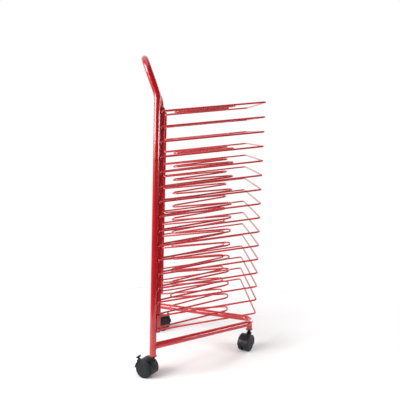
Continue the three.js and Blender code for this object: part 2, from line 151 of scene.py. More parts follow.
class RackShelfSizes(bpy.types.PropertyGroup):
    """Sizes of one wire shelf."""

    wire: length("Wire", "Diameter of the shelf wire", 0.006)
    depth: length("Depth", "Pivot to the front wire, along the shelf", 0.330)
    tilt: slope("Tilt", "Rise of the front edge", 8.5)
    loop_width: length("Loop width", "Between the legs of a zigzag loop", 0.040)
    loop_offset: length("Loop offset", "Front loop from the middle of the zigzag", 0.098)
    loop_shift: length("Loop shift", "Zigzag left of the middle of the shelf", 0.012)
    loop_front: length("Front loop gap", "Front loops behind the front wire", 0.090)
    loop_back: length("Back loop gap", "Back loop in front of the pivot line", 0.038)
    right_run: length("Right pivot", "Straight wire inside the right upright", 0.032)
    left_run: length("Left pivot", "Straight wire inside the left upright", 0.016)
    side_offset: length("Side wire", "Side wire outside its hinge strip's middle", 0.005)
    stop_gap: length("Stop gap", "Stop tail in front of its upright", 0.0003)
    stop_length: length("Stop tail", "Stop tail below the pivot", 0.010)


class RackCastorSizes(bpy.types.PropertyGroup):
    """Sizes of one castor."""

    web: length("Web", "Hood between the wheels", 0.010)
    web_round: length("Web round", "Diameter of the web below the axle", 0.048)
    side_gap: length("Side gap", "Wheel beside the web", 0.001)
    wheel_width: length("Wheel width", "Width of one wheel", 0.016)
    tread_edge: length("Tread edge", "Rounding beside the tread", 0.003)
    hub: length("Hub", "Diameter of the raised disc on a wheel", 0.046)
    hub_rise: length("Hub rise", "Height of the raised disc", 0.001)
    axle: length("Axle", "Diameter of the axle", 0.006)
    guard_gap: length("Guard gap", "Hood over the tread", 0.0018)
    guard: length("Guard", "Wall of the hood", 0.0025)
    guard_drop: slope("Guard drop", "Hood below the axle in front", 22)
    stem: length("Stem", "Diameter of the stem", 0.009)
    stem_flange: length("Stem flange", "Diameter of the stem's flange", 0.013)
    stem_in_hood: length("Stem in hood", "Stem held in the hood", 0.017)
    stem_in_tube: length("Stem in tube", "Stem held in the tube", 0.020)
    boss: length("Boss", "Diameter of the hood around the stem", 0.020)
    neck: length("Neck", "Diameter of the boss's narrow top", 0.013)
    neck_rise: length("Neck rise", "Narrow top above the boss", 0.0095)
    plug_height: length("Plug flange", "Height of the plug's flange", 0.003)
    plug_overhang: length("Plug overhang", "Plug's flange beyond the tube", 0.0025)
    lug_length: length("Lug", "Length of a brake lug", 0.008)
    lug: length("Lug wall", "Thickness of a brake lug", 0.003)
    lever: length("Lever", "Width of the brake lever's stalk", 0.007)
    stalk: length("Stalk", "Thickness of the brake lever's stalk", 0.003)
    pedal_start: length("Pedal start", "Pedal from the lever's pivot", 0.009)
    pedal_length: length("Pedal length", "Height of the pedal's cross bar", 0.006)
    pedal: length("Pedal", "Width of the pedal's cross bar", 0.020)
    pedal_thick: length("Pedal thickness", "Thickness of the pedal's cross bar", 0.004)
    lever_lift: slope("Lever lift", "Lever above level, brake off", 80)


class RackFinish(bpy.types.PropertyGroup):
    """Colours of the finishes."""

    enamel: colour("Enamel", "Gloss red enamel on the steel", "#C00C18")
    enamel_deep: colour("Deep enamel", "Where the enamel lies thicker", "#AC0915")
    nylon: colour("Hood nylon", "Black nylon of the hoods and levers", "#0C0D10")
    nylon_worn: colour("Handled nylon", "Black nylon where it is rubbed", "#17191C")
    tread: colour("Wheel nylon", "Dark grey nylon of the wheels", "#0B0F13")
    tread_dust: colour("Wheel dust", "Dust in the grain of the wheels", "#12171C")
    # The plug's maroon tint is a painted reflection of the red tubes; the plastic itself is near
    # black.
    plug: colour("Plug", "Dark plastic of the tube plugs", "#1A0A0E")
    zinc: colour("Zinc plate", "Bright zinc on the stems and axles", "#B9BCC0")
    floor: colour("Floor", "Plain pale studio floor", "#F4F4F4")


def unit(vectors):
    """Vectors scaled to length one."""
    return vectors / np.linalg.norm(vectors, axis=-1, keepdims=True)


def round_angles(count):
    """Even angles around a full turn."""
    return np.linspace(0.0, FULL_TURN, count, endpoint=False)


def level_circle(angle):
    """Points of a level circle of radius one: (cos a, sin a, 0) for a column of angles."""
    return np.hstack([np.cos(angle), np.sin(angle), np.zeros_like(angle)])


def bent_path(corners, radii, step):
    """Straight runs joined by arcs, and the direction at each point.

    A corner's arc leaves its run at radius * tan(turn / 2) before the corner. At the angle a it
    has gone radius * sin a along the run and radius * (1 - cos a) towards the next one.
    """
    corners = np.asarray(corners, float)
    points = [corners[0]]
    tangents = [unit(corners[1] - corners[0])]
    for before, corner, after, radius in zip(corners, corners[1:], corners[2:], radii):
        into = unit(corner - before)
        out = unit(after - corner)
        turn = math.acos(np.clip(into @ out, -1.0, 1.0))
        side = unit(out - into * (out @ into))
        start = corner - into * radius * math.tan(turn / 2.0)
        angle = np.linspace(0.0, turn, max(3, math.ceil(turn / step) + 1))[:, None]
        arc = side * radius * (1.0 - np.cos(angle)) + into * radius * np.sin(angle)
        points.extend(start + arc)
        tangents.extend(side * np.sin(angle) + into * np.cos(angle))
    points.append(corners[-1])
    tangents.append(unit(corners[-1] - corners[-2]))
    return np.array(points), np.array(tangents)


def carried_sides(tangents, first_side):
    """A side direction carried along a path with no twist.

    At each station it loses its part along the tangent.
    """
    sides = np.empty_like(tangents)
    side = np.asarray(first_side, float)
    for i, tangent in enumerate(tangents):
        side = unit(side - tangent * (side @ tangent))
        sides[i] = side
    return sides


def grid_faces(rows, columns, wrap_rows=False):
    """Four-sided faces of a grid whose columns close on themselves, and its rows if they wrap."""
    row = np.arange(rows if wrap_rows else rows - 1)[:, None]
    column = np.arange(columns)[None, :]
    next_row = (row + 1) % rows
    next_column = (column + 1) % columns
    corners = [row * columns + column, row * columns + next_column]
    corners += [next_row * columns + next_column, next_row * columns + column]
    return np.stack(corners, axis=-1).reshape(-1, 4)


def ring_sweep(centres, sides, ups, radii, count, shift=0.0, tangents=None, wrap=False):
    """Circles carried along a path, each moved along it by its shift.

    centre + radius * (cos(angle) * side + sin(angle) * up) + shift * tangent
    """
    angle = round_angles(count)[None, :, None]
    around = np.cos(angle) * sides[:, None, :] + np.sin(angle) * ups[:, None, :]
    points = centres[:, None, :] + np.asarray(radii, float).reshape(-1, 1, 1) * around
    if tangents is not None:
        points = points + np.asarray(shift)[..., None] * tangents[:, None, :]
    return points.reshape(-1, 3), grid_faces(len(centres), count, wrap_rows=wrap)


def solid_rod(points, tangents, first_side, radius, count, rings=4):
    """A round rod along a path, with a flat dome of some rings at each end.

    A dome is half as high as the rod is thick. At the angle a above its rim a ring has
    radius * cos a and lies depth * (1 - sin a) inside the end.
    """
    sides = carried_sides(tangents, first_side)
    ups = np.cross(tangents, sides)
    dome = np.linspace(math.pi / 2.0, 0.0, rings)
    last = len(points) - 1
    stations = np.concatenate([np.zeros(rings, int), np.arange(1, last), np.full(rings, last)])
    body = np.ones(last - 1)
    radii = radius * np.concatenate([np.cos(dome), body, np.cos(dome[::-1])])
    depth = 0.5 * radius
    inside = 1.0 - np.sin(dome)
    shift = depth * np.concatenate([inside, 0.0 * body, -inside[::-1]])
    path = points[stations], sides[stations], ups[stations]
    return ring_sweep(*path, radii, count, shift[:, None], tangents[stations])


def hollow_tube(points, tangents, first_side, outer, bore, edge, count, cope=0.0):
    """A tube along a path: out along the outer wall, over the cut edge and back along the bore.

    With a cope, each end follows the round post that it meets: a point that lies e beside the
    tube's own plane is moved in by sqrt(cope ** 2 - e ** 2).
    """
    sides = carried_sides(tangents, first_side)
    ups = np.cross(tangents, sides)
    last = len(points) - 1
    inner = np.arange(1, last)
    stations = np.concatenate([[0, 0], inner, [last, last, last, last], inner[::-1], [0, 0]])
    wide = np.concatenate([[outer - edge], np.full(last + 1, outer), [outer - edge]])
    narrow = np.concatenate([[bore + edge], np.full(last + 1, bore), [bore + edge]])
    radii = np.concatenate([wide, narrow])
    along = np.zeros(len(radii))
    half = len(wide)
    along[[1, half * 2 - 2]] = edge
    along[[half - 2, half + 1]] = -edge
    shift = along[:, None] * np.ones(count)
    if cope:
        beside = radii[:, None] * np.cos(round_angles(count))
        inset = np.sqrt(np.clip(cope**2 - beside**2, 0.0, None))
        shift = shift + inset * ((stations == 0).astype(float) - (stations == last))[:, None]
    path = points[stations], sides[stations], ups[stations]
    return ring_sweep(*path, radii, count, shift, tangents[stations], wrap=True)


def turned(profile, count, axis="Z"):
    """A profile of (radius, height) turned about Z or Y.

    About Z it is (r cos a, r sin a, h), about Y (r cos a, h, r sin a).
    """
    profile = np.asarray(profile, float)
    angle = round_angles(count)
    across = profile[:, :1] * np.cos(angle)
    other = profile[:, :1] * np.sin(angle)
    height = np.repeat(profile[:, 1:], count, axis=1)
    order = (across, other, height) if axis == "Z" else (across, height, other)
    return np.stack(order, axis=-1).reshape(-1, 3), grid_faces(len(profile), count)


def peg(radius, low, high, count, axis="Y", rounding=0.0, step=math.radians(30)):
    """A round bar between two heights on an axis: a rectangle turned about it, rims rounded."""
    profile = [(0.0, low), (radius, low), (radius, high), (0.0, high)]
    if rounding:
        profile = bent_path(profile, [rounding, rounding], step)[0]
    return turned(profile, count, axis)


def rounded_profile(rows, step):
    """An open outline from rows of x, height and rounding. Its two ends are not rounded."""
    rows = np.asarray(rows, float)
    return bent_path(rows[:, :2], rows[1:-1, 2], step)[0]


def rounded_outline(rows, step=math.radians(15)):
    """A closed outline from rows of x, height and rounding, with an arc at each corner."""
    rows = np.asarray(rows, float)
    corners = rows[:, :2]
    start = (corners[-1] + corners[0]) / 2.0
    points, _ = bent_path([start, *corners, start], rows[:, 2], step)
    return points[:-1]


def oblong(start, end, half, start_round, end_round):
    """A closed outline from start to end along X and half to both sides, its corners rounded."""
    rows = [(start, -half, start_round), (end, -half, end_round)]
    rows += [(end, half, end_round), (start, half, start_round)]
    return rounded_outline(rows)


def end_faces(rings, count):
    """The first and the last ring of a grid, each filled as one face."""
    return [list(range(count)), list(range((rings - 1) * count, rings * count))]


def extruded(outline, low, high):
    """A flat (x, z) outline carried along Y, with both ends filled."""
    count = len(outline)
    near = np.stack([outline[:, 0], np.full(count, low), outline[:, 1]], axis=-1)
    far = near + np.array([0.0, high - low, 0.0])
    return np.concatenate([near, far]), grid_faces(2, count), end_faces(2, count)


def swept_sector(profile, start, end, count):
    """A closed (radius, y) profile turned about Y from one angle to another, both ends filled."""
    angle = np.linspace(start, end, count)[:, None]
    x = profile[None, :, 0] * np.cos(angle)
    z = profile[None, :, 0] * np.sin(angle)
    y = np.repeat(profile[None, :, 1], count, axis=0)
    points = np.stack([x, y, z], axis=-1).reshape(-1, 3)
    return points, grid_faces(count, len(profile)), end_faces(count, len(profile))


def mesh_of(name, *surfaces):
    """One mesh from surfaces, with poles and seams closed and faces turned outwards."""
    mesh = bpy.data.meshes.new(name)
    points, faces, first = [], [], 0
    for surface in surfaces:
        points.append(surface[0])
        faces.extend((np.asarray(surface[1]) + first).tolist())
        for end in surface[2] if len(surface) > 2 else ():
            faces.append([corner + first for corner in end])
        first += len(surface[0])
    mesh.from_pydata(np.concatenate(points), [], faces)
    work = bmesh.new()
    work.from_mesh(mesh)
    bmesh.ops.remove_doubles(work, verts=work.verts, dist=SMALL)
    bmesh.ops.recalc_face_normals(work, faces=work.faces)
    work.to_mesh(mesh)
    work.free()
    return mesh


def moved(mesh, matrix):
    """The mesh itself, after its points have been moved."""
    mesh.transform(matrix)
    return mesh


def combined(base, others, operation):
    """The base mesh joined with, or cut by, each of the other meshes."""
    scene = bpy.context.scene
    body = bpy.data.objects.new("combine", base)
    scene.collection.objects.link(body)
    tools = []
    for other in others:
        tool = bpy.data.objects.new("tool", other)
        scene.collection.objects.link(tool)
        step = body.modifiers.new("combine", "BOOLEAN")
        step.operation = operation
        step.solver = "EXACT"
        step.object = tool
        tools.append(tool)
    evaluated = body.evaluated_get(bpy.context.evaluated_depsgraph_get())
    result = bpy.data.meshes.new_from_object(evaluated)
    for spare in [body, *tools]:
        bpy.data.objects.remove(spare)
    return result


def soften(mesh, sharp_angle=math.radians(38)):
    """Smooth shading with edges kept where two faces meet at more than the angle."""
    mesh.polygons.foreach_set("use_smooth", np.ones(len(mesh.polygons), bool))
    mesh.set_sharp_from_angle(angle=sharp_angle)
    mesh.update()


def add_piece(name, mesh, finish, body, nodes=()):
    """A finished piece that moves with a body and stands for the CAD nodes that are named."""
    soften(mesh)
    mesh.materials.clear()
    mesh.materials.append(material(finish))
    piece = bpy.data.objects.new(name, mesh)
    bpy.context.scene.collection.objects.link(piece)
    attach(piece, body)
    if nodes:
        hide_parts(*nodes)
    return piece


NOISE_RANGE = {"From Min": 0.3, "From Max": 0.7}  # holds nearly all values of a noise
NOISE_ROUGHNESS = 0.55
TONE_INPUTS = (6, 7)  # the two colours of a Mix node
TONE_OUTPUT = 2


def add_node(tree, kind, settings=None, links=None):
    """Adds a shader node, sets its values and links its inputs, by name or by number."""
    node = tree.nodes.new(kind)
    for key, value in (settings or {}).items():
        if isinstance(key, int) or key in node.inputs:
            node.inputs[key].default_value = value
        else:
            setattr(node, key, value)
    for key, source in (links or {}).items():
        tree.links.new(source, node.inputs[key])
    return node


def new_material(name, noises):
    """A material with a noise for each (millimetres, detail) on the object's own coordinates."""
    made = bpy.data.materials.new(name)
    made.use_nodes = True
    tree = made.node_tree
    tree.nodes.clear()
    place = {"Vector": add_node(tree, "ShaderNodeTexCoord").outputs["Object"]}
    values = []
    for millimetres, detail in noises:
        settings = {"Scale": 1000.0 / millimetres, "Detail": detail, "Roughness": NOISE_ROUGHNESS}
        values.append(add_node(tree, "ShaderNodeTexNoise", settings, place).outputs["Fac"])
    return made, tree, values


def surfaced(tree, tones, factor, settings, links):
    """Blends the two tones and joins the surface shader to the output."""
    tones = {key: (*tone, 1.0) for key, tone in zip(TONE_INPUTS, tones)}
    blend = add_node(tree, "ShaderNodeMix", {"data_type": "RGBA", **tones}, {"Factor": factor})
    links = {"Base Color": blend.outputs[TONE_OUTPUT], **links}
    shader = add_node(tree, "ShaderNodeBsdfPrincipled", settings, links).outputs["BSDF"]
    add_node(tree, "ShaderNodeOutputMaterial", None, {"Surface": shader})


def finished(name, tones, blotch, share, haze, roughness, grain, height, strength, settings):
    """A finish drawn by three noises, each given as its size in millimetres and its detail.

    blotch blends up to the share of the second tone into the first, haze moves the roughness
    between two values, and grain is relief of a height in millimetres, weakened to a strength.
    """
    made, tree, values = new_material(name, (blotch, haze, grain))
    ranged = []
    for value, low, high in ((values[0], 0.0, share), (values[1], *roughness)):
        ends = {**NOISE_RANGE, "To Min": low, "To Max": high}
        ranged.append(add_node(tree, "ShaderNodeMapRange", ends, {"Value": value}))
    bump = {"Strength": strength, "Distance": height / 1000.0}
    relief = add_node(tree, "ShaderNodeBump", bump, {"Height": values[2]}).outputs["Normal"]
    factor, rough = (node.outputs["Result"] for node in ranged)
    surfaced(tree, tones, factor, settings, {"Roughness": rough, "Normal": relief})
    return made


def red_enamel(finish):
    """Stoved red enamel on steel: a wet gloss, faint orange peel and deeper red where it ran."""
    return finished(
        "red_enamel",
        tones=(finish.enamel, finish.enamel_deep),
        blotch=(35.0, 2.0),
        share=1.0,
        haze=(9.0, 2.0),
        roughness=(0.17, 0.25),
        grain=(1.6, 1.0),
        height=0.05,
        strength=0.12,
        settings={"IOR": 1.58, "Coat Weight": 0.6, "Coat Roughness": 0.08},
    )


def black_nylon(finish):
    """Moulded glass-filled nylon: black, with a spark-eroded grain, greyer where it is rubbed.

    The real grain is about 0.1 mm and is drawn coarser so that it shows.
    """
    return finished(
        "black_nylon",
        tones=(finish.nylon, finish.nylon_worn),
        blotch=(14.0, 2.0),
        share=0.7,
        haze=(14.0, 2.0),
        roughness=(0.36, 0.52),
        grain=(0.7, 2.0),
        height=0.06,
        strength=0.35,
        settings={"IOR": 1.53, "Specular IOR Level": 0.3},
    )


def dark_nylon(finish):
    """Moulded dark grey nylon of the wheels: duller than the hoods, with dust in its grain.

    As on the hoods, the grain is drawn coarser than it is.
    """
    return finished(
        "dark_nylon",
        tones=(finish.tread, finish.tread_dust),
        blotch=(5.0, 4.0),
        share=0.8,
        haze=(5.0, 4.0),
        roughness=(0.42, 0.6),
        grain=(0.9, 2.0),
        height=0.06,
        strength=0.35,
        settings={"IOR": 1.53, "Specular IOR Level": 0.3},
    )


def plug_plastic(finish):
    """Moulded near-black polypropylene of the tube plugs, smooth and a little waxy, with a maroon
    tint painted in as a reflection of the red tubes.
    """
    return finished(
        "plug_plastic",
        tones=(finish.plug, finish.nylon),
        blotch=(4.0, 2.0),
        share=0.5,
        haze=(4.0, 2.0),
        roughness=(0.34, 0.46),
        grain=(0.8, 2.0),
        height=0.03,
        strength=0.2,
        settings={"IOR": 1.49},
    )


def zinc_plate(finish):
    """Bright zinc plate on steel: a cool metal with a fine grain and a blotchy gloss.

    The crystals of the plate are far smaller than the grain, which is drawn so that it shows.
    """
    return finished(
        "zinc_plate",
        tones=(finish.zinc, tuple(0.82 * part for part in finish.zinc)),
        blotch=(3.0, 2.0),
        share=1.0,
        haze=(3.0, 2.0),
        roughness=(0.24, 0.4),
        grain=(0.4, 2.0),
        height=0.01,
        strength=0.2,
        settings={"Metallic": 1.0},
    )


def studio_floor(finish):
    """Pale matt studio floor with a trace of unevenness."""
    made, tree, (clouds,) = new_material("studio_floor", [(400.0, 2.0)])
    tones = finish.floor, tuple(0.97 * part for part in finish.floor)
    surfaced(tree, tones, clouds, {"Roughness": 0.9}, {})
    return made


def material(finish):
    """The material of a finish, made on its first use."""
    made = bpy.data.materials.get(finish.__name__)
    return made or finish(bpy.context.scene.rack_finish)


TUBE_SIDES = 48
TUBE_STEP = math.radians(4)  # between the rings of a tube's bend
WELD_SIDES = 10
WELD_STATIONS = 360
WELD_SWELL = 0.10  # how far a ripple swells a weld, as a share of its radius


def rail_height(sizes):
    """Middle of the base rail above the floor."""
    return TUBE_END + sizes.rail_rise


def rail_corner(sizes):
    """Sharp corner of the base rail, from the tip of its bend, where the front castor stands.

    With the bend's radius b, half the spread h of the uprights and the corner's distance c from
    them, the tip lies at c - b * sqrt(c ** 2 + h ** 2) / h + b, which Newton's steps solve for c.
    """
    left, right, front = (foot_of(side) for side in SIDES)
    half = (right[1] - left[1]) / 2.0
    reach = front[0] - left[0]
    bend = sizes.rail_bend
    corner = reach + bend
    for _ in range(20):
        run = math.hypot(corner, half)
        miss = corner - bend * run / half + bend - reach
        corner -= miss / (1.0 - bend * corner / (half * run))
    return np.array([left[0] + corner, front[1], rail_height(sizes)])


def weld_bead(curve, outwards, sizes):
    """A bead along a closed curve: circles whose radius swells as a sine with each ripple."""
    onwards = np.roll(curve, -1, axis=0)
    tangents = unit(onwards - np.roll(curve, 1, axis=0))
    sides = unit(outwards - tangents * np.sum(outwards * tangents, axis=1, keepdims=True))
    ups = np.cross(tangents, sides)
    run = np.sum(np.linalg.norm(onwards - curve, axis=1))
    ripples = round(run / sizes.ripple)
    phase = np.linspace(0.0, FULL_TURN * ripples, len(curve), endpoint=False)
    radii = sizes.weld * (1.0 + WELD_SWELL * np.sin(phase))
    return ring_sweep(curve, sides, ups, radii, WELD_SIDES, wrap=True)


class RACK_OT_frame_tube(bpy.types.Operator):
    """Bent tube of the uprights and the handle"""

    bl_idname = "rack.frame_tube"
    bl_label = "Frame tube"

    def execute(self, context):
        sizes = context.scene.rack_frame
        left, right = foot_of("left"), foot_of("right")
        bend = TOP_PIVOT[2] + sizes.top_margin
        handle = bend + sizes.handle_rise
        back = left[0] - sizes.handle_back
        corners = [
            (left[0], left[1], TUBE_END),
            (left[0], left[1], bend),
            (back, left[1], handle),
            (back, right[1], handle),
            (right[0], right[1], bend),
            (right[0], right[1], TUBE_END),
        ]
        radii = [sizes.handle_bend, sizes.handle_corner, sizes.handle_corner, sizes.handle_bend]
        path = bent_path(corners, radii, TUBE_STEP)
        outer = sizes.tube / 2.0
        bore = outer - sizes.wall
        wall = hollow_tube(*path, (1, 0, 0), outer, bore, sizes.edge, TUBE_SIDES)
        add_piece("frame_tube", mesh_of("frame_tube", wall), red_enamel, "frame", ["back_frame"])
        return {"FINISHED"}


class RACK_OT_base_rail(bpy.types.Operator):
    """V-shaped base rail, the front castor's socket and their welds"""

    bl_idname = "rack.base_rail"
    bl_label = "Base rail"

    def execute(self, context):
        sizes = context.scene.rack_frame
        outer = sizes.tube / 2.0
        bore = outer - sizes.wall
        ends = [foot_of(side) + rail_height(sizes) * UP for side in BACK_SIDES]
        corners = [ends[0], rail_corner(sizes), ends[1]]
        points, tangents = bent_path(corners, [sizes.rail_bend], TUBE_STEP)
        across = np.cross(tangents[0], UP)
        wall = hollow_tube(points, tangents, across, outer, bore, 0.0, TUBE_SIDES, cope=outer)
        mesh = mesh_of("base_rail_tube", wall)
        add_piece("base_rail_tube", mesh, red_enamel, "frame", ["base_rail"])

        angle = round_angles(WELD_STATIONS)[:, None]
        beads = []
        for end, tangent in ((ends[0], tangents[0]), (ends[1], -tangents[-1])):
            beads.append(self.end_weld(end, tangent, angle, sizes))
        beads.append(weld_bead(self.socket_top(outer, angle, sizes), level_circle(angle), sizes))
        add_piece("rail_welds", mesh_of("rail_welds", *beads), red_enamel, "frame")

        angle = round_angles(TUBE_SIDES)[:, None]
        foot = foot_of("front") + TUBE_END * UP
        rings = [
            foot + (outer - sizes.edge) * level_circle(angle),
            foot + sizes.edge * UP + outer * level_circle(angle),
            self.socket_top(outer, angle, sizes),
            self.socket_top(bore, angle, sizes),
            foot + bore * level_circle(angle),
        ]
        wall = np.concatenate(rings), grid_faces(len(rings), TUBE_SIDES, wrap_rows=True)
        mesh = mesh_of("front_socket_tube", wall)
        add_piece("front_socket_tube", mesh, red_enamel, "frame", ["front_socket"])
        return {"FINISHED"}

    def end_weld(self, end, tangent, angle, sizes):
        """The bead where the rail meets an upright of the same tube, whose radius is r.

        At the angle a it lies r * |sin a| along the rail from the middle of the upright.
        """
        outer = sizes.tube / 2.0
        around = np.cos(angle) * np.cross(tangent, UP) + np.sin(angle) * UP
        inset = outer * np.abs(np.sin(angle))
        return weld_bead(end + outer * around + inset * tangent, around, sizes)

    def socket_top(self, radius, angle, sizes):
        """The socket's cut end: rail height - sqrt(r ** 2 - e ** 2), e beside the rail's axis.

        The rail's axis is a circle there, and r is the radius of its tube.
        """
        outer = sizes.tube / 2.0
        front = foot_of("front")
        centre = front - np.array([sizes.rail_bend, 0.0, 0.0])
        spot = front + radius * level_circle(angle)
        beside = np.linalg.norm((spot - centre)[:, :2], axis=1) - sizes.rail_bend
        spot[:, 2] = rail_height(sizes) - np.sqrt(np.clip(outer**2 - beside**2, 0.0, None))
        return spot


class RACK_OT_hinge_strips(bpy.types.Operator):
    """Flat bars with the pivot holes, and the short welds that hold them"""

    bl_idname = "rack.hinge_strips"
    bl_label = "Hinge strips"

    BEVEL_ANGLE = math.radians(40)
    RAYS = 64  # around a hole
    RINGS = 4  # from a hole to the edge of its cell
    CROWDING = 1.5  # power that draws the rings towards the hole
    STEEP = 1e-9  # least cosine or sine to divide by
    STITCH_EVERY = 3  # pivots from one weld to the next
    STITCH_RINGS = 33
    STITCH_SLIM = 0.75  # radius as a share of the other welds
    STITCH_SWELL = 0.08

    def execute(self, context):
        sizes = context.scene.rack_frame
        pivots = [place_of(f"{name}_lift") for name in SHELVES]
        gaps = list(zip(pivots, pivots[1:]))
        for side in BACK_SIDES:
            node = f"hinge_strip_{side}"
            low, high = (np.array(corner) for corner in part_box(node))
            middle = (low[1] + high[1]) / 2.0
            half = (pivots[1][2] - pivots[0][2]) / 2.0
            cells = [self.cell(pivot, half, low, high, middle, sizes) for pivot in pivots]
            mesh = mesh_of(f"strip_{side}", *cells)
            piece = add_piece(f"strip_{side}", mesh, red_enamel, "frame", [node])
            plate = piece.modifiers.new("plate", "SOLIDIFY")
            plate.thickness = sizes.strip
            plate.offset = 0.0
            edge = piece.modifiers.new("edge", "BEVEL")
            edge.width = sizes.bevel
            edge.segments = 2
            edge.limit_method = "ANGLE"
            edge.angle_limit = self.BEVEL_ANGLE

            welds = []
            for below, above in gaps[:: self.STITCH_EVERY]:
                height = (below[2] + above[2]) / 2.0
                for face in (-1.0, 1.0):
                    spot = np.array([low[0], middle + face * sizes.strip / 2.0, height])
                    welds.append(self.stitch(spot, sizes))
            mesh = mesh_of(f"strip_welds_{side}", *welds)
            add_piece(f"strip_welds_{side}", mesh, red_enamel, "frame")
        return {"FINISHED"}

    def cell(self, pivot, half, low, high, middle, sizes):
        """The sheet round one hole: a blend from the hole's circle to its cell's edge, by rays.

        A ray at angle a meets a straight edge at distance / cos a or distance / sin a. At the end
        of the strip its front corner is a circle with its middle above or below the hole.
        """
        x, _, z = pivot
        top = min(half, high[2] - z)
        bottom = min(half, z - low[2])
        front = high[0] - x
        back = x - low[0]
        corners = [math.atan2(up, along) for along in (front, -back) for up in (top, -bottom)]
        even = np.linspace(-math.pi, math.pi, self.RAYS, endpoint=False)
        angle = np.unique(np.concatenate([even, corners]))
        cos, sin = np.cos(angle), np.sin(angle)
        cos = np.where(np.abs(cos) < self.STEEP, self.STEEP, cos)
        sin = np.where(np.abs(sin) < self.STEEP, self.STEEP, sin)
        sideways = np.where(cos > 0, front, -back) / cos
        upwards = np.where(sin > 0, top, -bottom) / sin
        reach = np.minimum(sideways, upwards)
        for end, sign in ((top, 1.0), (bottom, -1.0)):
            if end < half - SMALL:
                straight = end - front
                along = sin * sign * straight
                meets = along + np.sqrt(np.clip(along**2 - straight**2 + front**2, 0.0, None))
                in_corner = (reach * cos > 0.0) & (reach * sin * sign > straight)
                reach = np.where(in_corner, meets, reach)
        hole = sizes.hole / 2.0
        blend = np.linspace(0.0, 1.0, self.RINGS)[:, None] ** self.CROWDING
        radius = hole + (reach - hole) * blend
        flat = x + radius * np.cos(angle), z + radius * np.sin(angle)
        points = np.stack([flat[0], np.full_like(radius, middle), flat[1]], axis=-1)
        return points.reshape(-1, 3), grid_faces(self.RINGS, len(angle))

    def stitch(self, spot, sizes):
        """A short bead: radius * (1 - u ** 4) ** 0.5 along u from -1 to 1, with its ripples."""
        u = np.linspace(-1.0, 1.0, self.STITCH_RINGS)
        ripples = sizes.stitch / sizes.ripple
        swell = 1.0 + self.STITCH_SWELL * np.sin(u * math.pi * ripples)
        radii = self.STITCH_SLIM * sizes.weld * np.sqrt(np.clip(1.0 - u**4, 0.0, None)) * swell
        profile = np.stack([radii, u * sizes.stitch / 2.0], axis=-1)
        points, faces = turned(profile, WELD_SIDES)
        return points + spot, faces


class RACK_OT_shelves(bpy.types.Operator):
    """Wire shelves, each bent from one length of wire"""

    bl_idname = "rack.shelves"
    bl_label = "Shelves"

    WIRE_SIDES = 14
    WIRE_STEP = math.radians(9)  # between the rings of a bend
    TIGHT, CORNER, HAIRPIN = 0.75, 1.6, 2.0  # radii of the bends, in wire diameters

    def execute(self, context):
        sizes = context.scene.rack_shelf
        for name in SHELVES:
            path = self.wire_path(sizes, context.scene.rack_frame, place_of(f"{name}_lift"))
            wire = solid_rod(*path, (0, 1, 0), sizes.wire / 2.0, self.WIRE_SIDES)
            add_piece(f"{name}_wire", mesh_of(f"{name}_wire", wire), red_enamel, name, [name])
        return {"FINISHED"}

    def wire_path(self, sizes, frame_sizes, pivot):
        """Stop tail, left side, front, right side, right pivot, zigzag and left pivot.

        All but the tail lies in the shelf's plane, which is tilted about its pivot.
        """
        left, right = foot_of("left"), foot_of("right")
        cos, sin = math.cos(sizes.tilt), math.sin(sizes.tilt)

        def at(along, y):
            return np.array([pivot[0] + along * cos, y, pivot[2] + along * sin])

        wire = sizes.wire
        left_wire = left[1] - sizes.side_offset
        right_wire = right[1] + sizes.side_offset
        reach = frame_sizes.tube / 2.0 + wire / 2.0 + sizes.stop_gap
        tail_x = left[0] + math.sqrt(reach**2 - sizes.side_offset**2)
        tail = np.array([tail_x, left_wire, pivot[2] - sizes.stop_length])
        front = sizes.depth - sizes.loop_front
        half = sizes.loop_width / 2.0
        zigzag = (left[1] + right[1]) / 2.0 - sizes.loop_shift
        corners = [
            tail,
            at((tail_x - pivot[0]) / cos, left_wire),
            at(sizes.depth, left_wire),
            at(sizes.depth, right_wire),
            at(0.0, right_wire),
            at(0.0, right[1] - sizes.right_run),
            at(front, zigzag + sizes.loop_offset + half),
            at(front, zigzag + sizes.loop_offset - half),
            at(sizes.loop_back, zigzag + half),
            at(sizes.loop_back, zigzag - half),
            at(front, zigzag - sizes.loop_offset + half),
            at(front, zigzag - sizes.loop_offset - half),
            at(0.0, left[1] + sizes.left_run),
            at(0.0, left[1] - frame_sizes.strip / 2.0),
        ]
        tight, corner, hairpin = (k * wire for k in (self.TIGHT, self.CORNER, self.HAIRPIN))
        radii = [tight, corner, corner, tight, hairpin, *[half] * 6, corner]
        return bent_path(corners, radii, self.WIRE_STEP)


